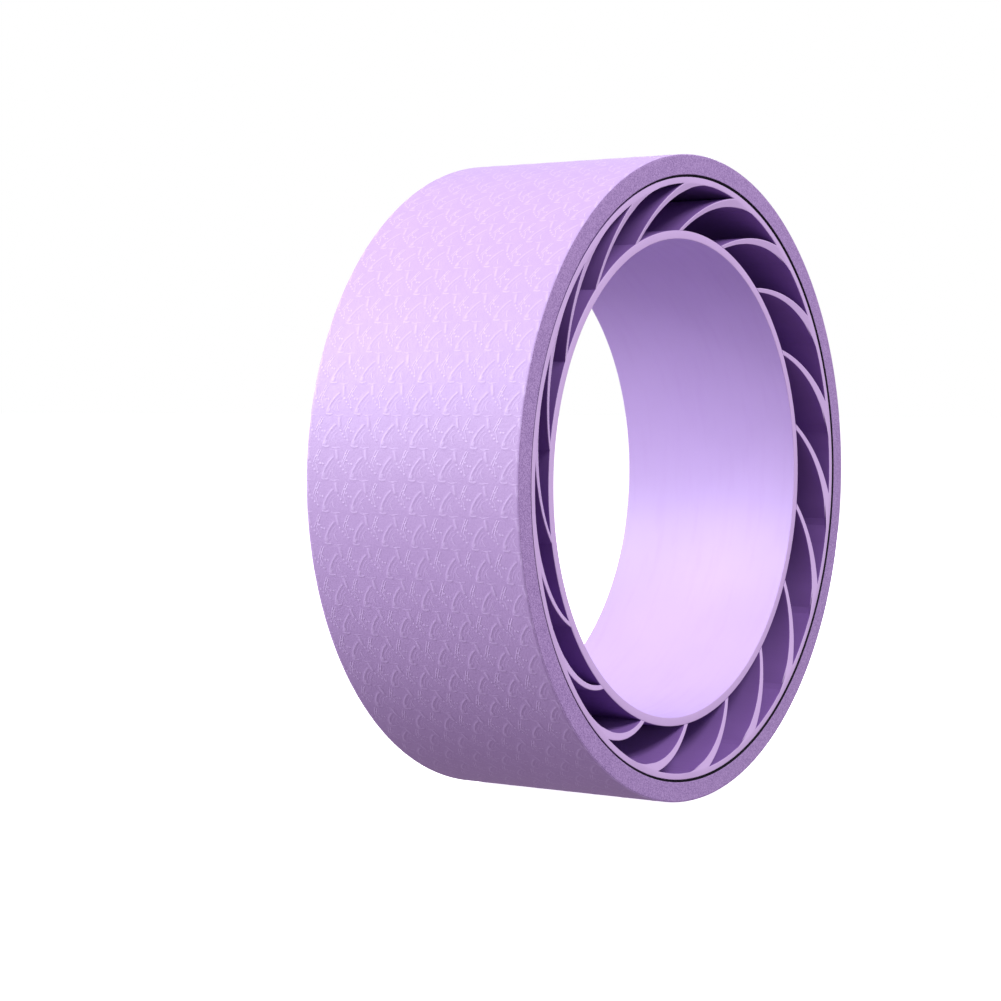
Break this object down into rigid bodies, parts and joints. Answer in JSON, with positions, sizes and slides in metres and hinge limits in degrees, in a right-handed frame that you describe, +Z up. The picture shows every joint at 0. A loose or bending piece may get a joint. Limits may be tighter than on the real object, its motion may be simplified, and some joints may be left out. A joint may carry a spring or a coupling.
{
  "type": "yoga wheel",
  "caption": "Ring-shaped yoga wheel: foam tread pad taped round a plastic wheel of curved vanes between an outer hoop and a recessed, smooth inner hoop.",
  "frame": {"origin": "centre of the wheel, half way between its two side faces", "axes": "+Y along the wheel's axis, away from the pictured face; +Z up from the floor that the tread stands on; +X to the right seen from the pictured face"},
  "size_m": [0.32, 0.12, 0.32],
  "materials": {
    "tread_foam": "matte embossed foam, lavender",
    "tape": "matte, dark, seen only as a groove",
    "vane_plastic": "satin moulded plastic, lavender",
    "hoop_plastic": "smooth satin plastic, lavender"
  },
  "bodies": {
    "root": {"tread_pad": "tread_foam", "adhesive_tape": "tape", "front_vane_ring": "vane_plastic", "rear_vane_ring": "vane_plastic", "inner_hoop": "hoop_plastic"}
  },
  "joints": []
}
